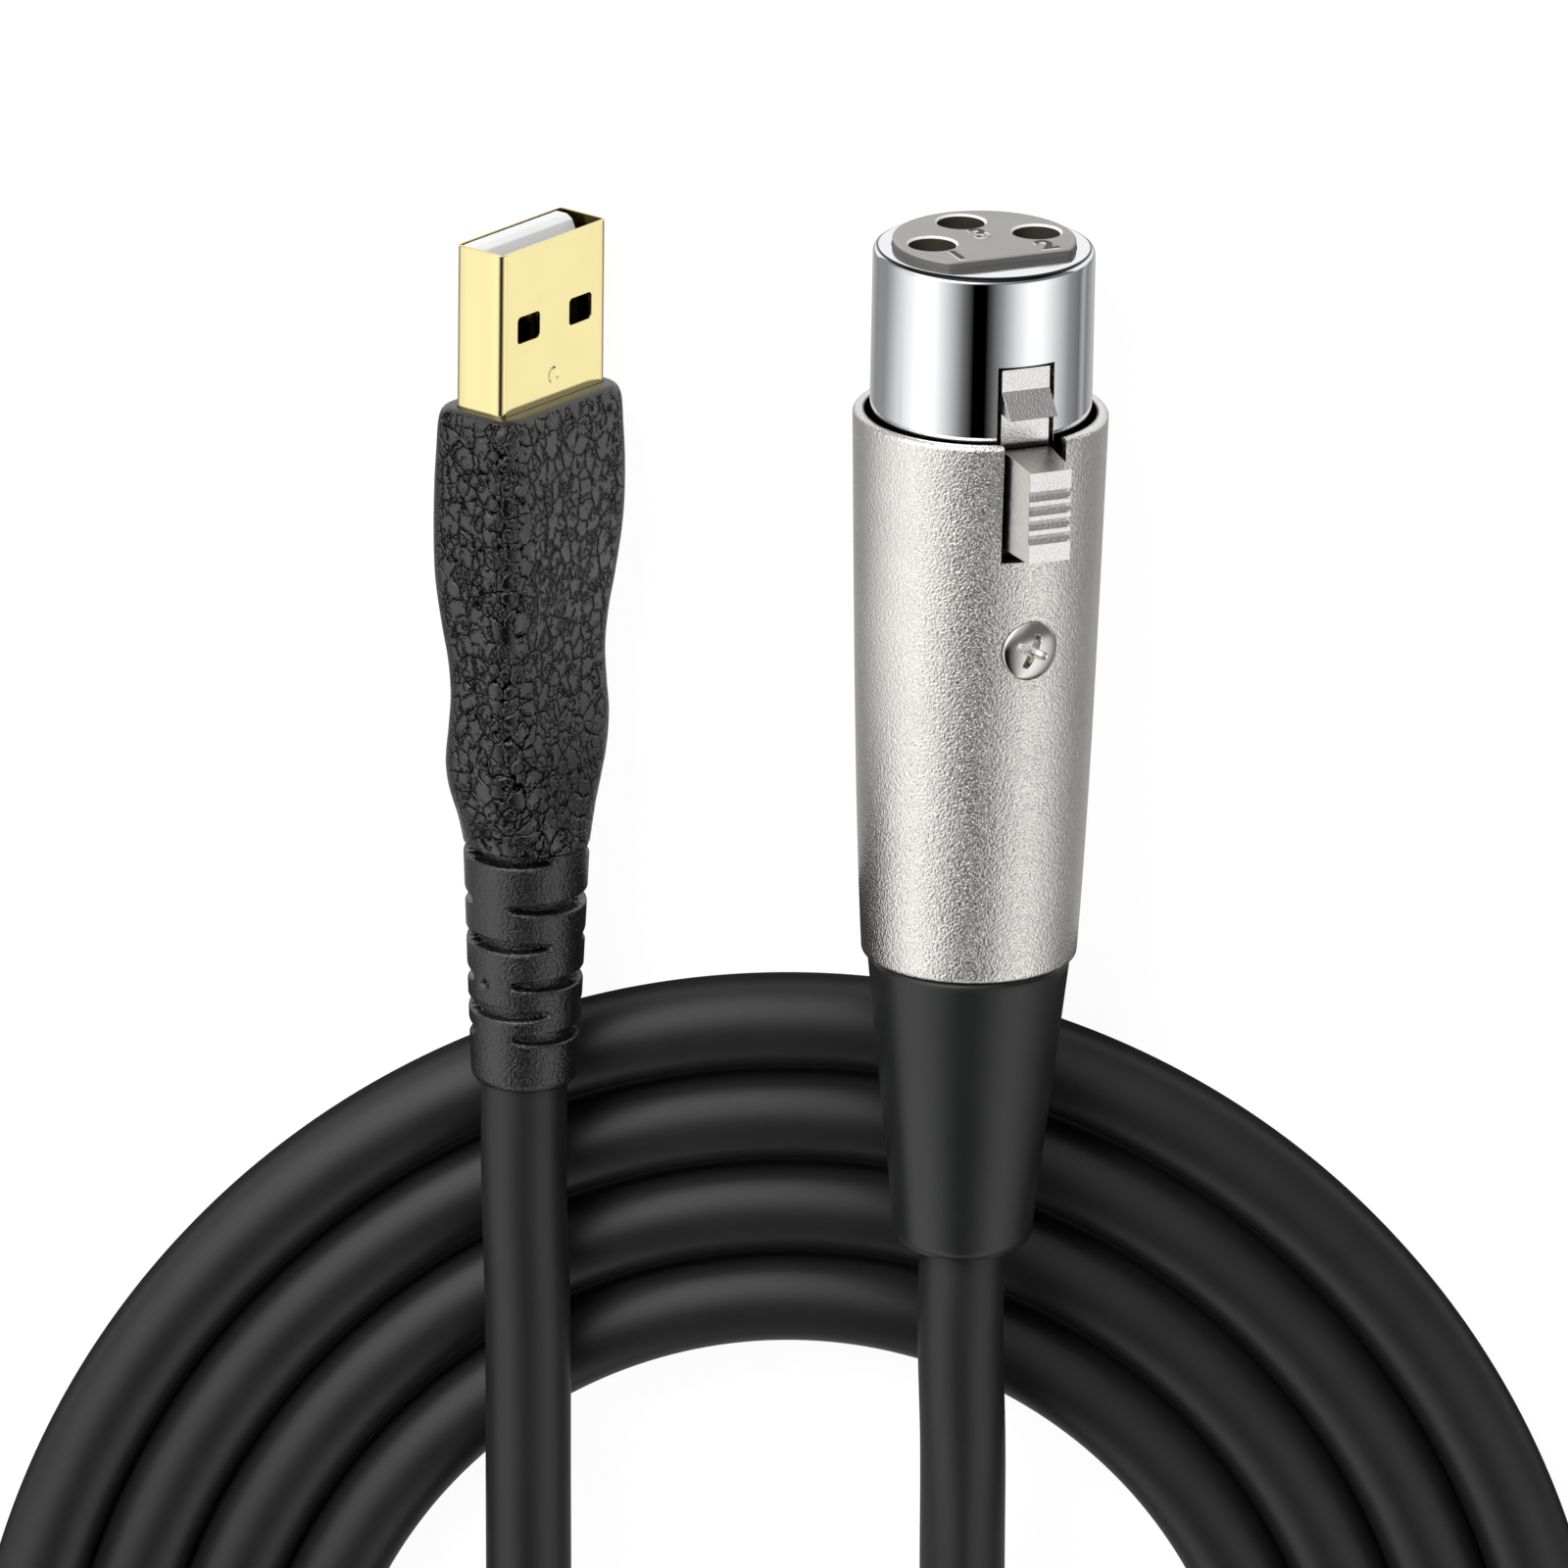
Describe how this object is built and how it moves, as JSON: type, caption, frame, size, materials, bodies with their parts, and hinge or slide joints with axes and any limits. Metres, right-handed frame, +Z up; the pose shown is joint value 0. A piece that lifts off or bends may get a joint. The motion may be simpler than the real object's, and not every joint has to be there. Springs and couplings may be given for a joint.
{
  "type": "coiled usb to xlr microphone cable",
  "caption": "Coiled black microphone cable with a USB-A plug and a latching 3-pin XLR socket connector, lying flat in one layer of turns.",
  "frame": {"origin": "on the plane that the cable lies on, under the middle of the box round the two connectors", "axes": "+Z up from that plane; +Y the way both connectors point; +X from the USB plug's side to the XLR connector's side"},
  "size_m": [0.1219, 0.1885, 0.0219],
  "materials": {
    "nose_chrome": "polished chrome plate",
    "insert_grey": "matt warm grey moulding",
    "carrier_plastic": "matt black moulding",
    "contact_gold": "gold plate over brass",
    "latch_nickel": "blasted nickel plate",
    "pin_steel": "plain steel",
    "spring_steel": "spring wire",
    "sleeve_nickel": "pearl nickel plate with a fine pebbled texture",
    "screw_nickel": "bright nickel plate",
    "boot_rubber": "smooth satin black",
    "chuck_plastic": "matt moulding",
    "board_laminate": "green solder mask",
    "chip_epoxy": "moulded epoxy",
    "crystal_can": "drawn can",
    "capacitor_can": "aluminium can",
    "wire_pvc": "coloured insulation: red, white, green and black",
    "cord_pvc": "soft satin jacket",
    "shell_gold": "polished pale gold plate",
    "tongue_white": "white moulding",
    "can_tin": "tin plate",
    "inner_mould_pe": "natural moulding",
    "grip_pvc": "soft moulding with a crackled leather grain",
    "relief_pvc": "soft moulding with a fine grain"
  },
  "bodies": {
    "cable": {"nose_shell": "nose_chrome", "pin_insert": "insert_grey", "contact_carrier": "carrier_plastic", "contact_1": "contact_gold", "contact_2": "contact_gold", "contact_3": "contact_gold", "latch_pin": "pin_steel", "latch_spring": "spring_steel", "sleeve": "sleeve_nickel", "sleeve_screw": "screw_nickel", "boot": "boot_rubber", "cord_chuck": "chuck_plastic", "converter_board": "board_laminate", "converter_chip": "chip_epoxy", "board_crystal": "crystal_can", "board_capacitors": "capacitor_can", "board_wires": "wire_pvc", "xlr_cord_end": "cord_pvc", "usb_shell": "shell_gold", "usb_tongue": "tongue_white", "usb_contacts": "contact_gold", "usb_can": "can_tin", "usb_inner_mould": "inner_mould_pe", "usb_grip": "grip_pvc", "usb_relief": "relief_pvc", "usb_wires": "wire_pvc", "usb_cord_end": "cord_pvc", "usb_tail": "cord_pvc", "cord_coil": "cord_pvc", "xlr_tail": "cord_pvc"},
    "latch": {"latch_lever": "latch_nickel"}
  },
  "joints": [
    {"name": "latch_press", "type": "hinge", "parent": "cable", "child": "latch", "pos_m": [0.01744, 0.01253, 0.01588], "axis": [-0.9128, 0.0466, 0.4057], "range_deg": [0, 4.5], "stiffness_Nm_per_rad": 0.15, "springref_deg": -3.44, "deforming": ["latch_spring"]}
  ]
}
